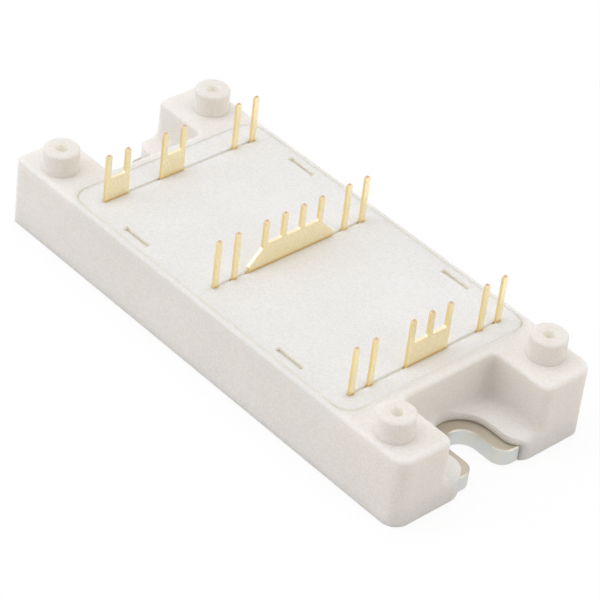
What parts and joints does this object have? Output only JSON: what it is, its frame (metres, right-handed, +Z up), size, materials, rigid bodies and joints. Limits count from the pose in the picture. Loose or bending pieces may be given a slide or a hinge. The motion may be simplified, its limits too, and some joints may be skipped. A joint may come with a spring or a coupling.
{
  "type": "power mosfet module",
  "caption": "Flat white moulded power semiconductor module with gilded terminal rows, screw bosses, end slots and a plated metal base.",
  "frame": {"origin": "centre of the underside of the metal base", "axes": "+X along the length, towards the end with the larger corner radii; +Y across it; +Z up, towards the tips of the terminals"},
  "size_m": [0.0918, 0.04, 0.0212],
  "materials": {
    "housing_plastic": "fine satin, moulded",
    "lid_plastic": "fine satin, moulded",
    "nickel_plate": "nickel plate, satin",
    "gold_plate": "thin gold plate, satin",
    "adhesive": "cured silicone",
    "gel": "soft clear gel",
    "solder": "dull",
    "copper": "bare copper, satin",
    "ceramic": "alumina, matt",
    "silicon": "polished",
    "thermistor": "matt",
    "bond_metal": "bright"
  },
  "bodies": {
    "root": {"adhesive_bead": "adhesive", "baseplate": "nickel_plate", "ceramic_tile_1": "ceramic", "ceramic_tile_2": "ceramic", "copper_tracks_1": "copper", "copper_tracks_2": "copper", "diode_chip_1_high": "silicon", "diode_chip_1_low": "silicon", "diode_chip_2_high": "silicon", "diode_chip_2_low": "silicon", "diode_ribbon_1_high": "bond_metal", "diode_ribbon_1_low": "bond_metal", "diode_ribbon_2_high": "bond_metal", "diode_ribbon_2_low": "bond_metal", "gate_wire_1_high": "bond_metal", "gate_wire_1_low": "bond_metal", "gate_wire_2_high": "bond_metal", "gate_wire_2_low": "bond_metal", "housing": "housing_plastic", "lid": "lid_plastic", "link_ribbon_high": "bond_metal", "link_ribbon_low": "bond_metal", "lower_copper_1": "copper", "lower_copper_2": "copper", "silicone_gel": "gel", "solder_layer_1": "solder", "solder_layer_2": "solder", "source_ribbon_1_high": "bond_metal", "source_ribbon_1_low": "bond_metal", "source_ribbon_2_high": "bond_metal", "source_ribbon_2_low": "bond_metal", "switch_chip_1_high": "silicon", "switch_chip_1_low": "silicon", "switch_chip_2_high": "silicon", "switch_chip_2_low": "silicon", "terminal_a1": "gold_plate", "terminal_a2": "gold_plate", "terminal_a3": "gold_plate", "terminal_a4": "gold_plate", "terminal_b1": "gold_plate", "terminal_b2": "gold_plate", "terminal_b3": "gold_plate", "terminal_b4": "gold_plate", "terminal_b5": "gold_plate", "terminal_c1": "gold_plate", "terminal_c2": "gold_plate", "terminal_c3": "gold_plate", "terminal_c4": "gold_plate", "terminal_c5": "gold_plate", "thermistor": "thermistor"}
  },
  "joints": []
}
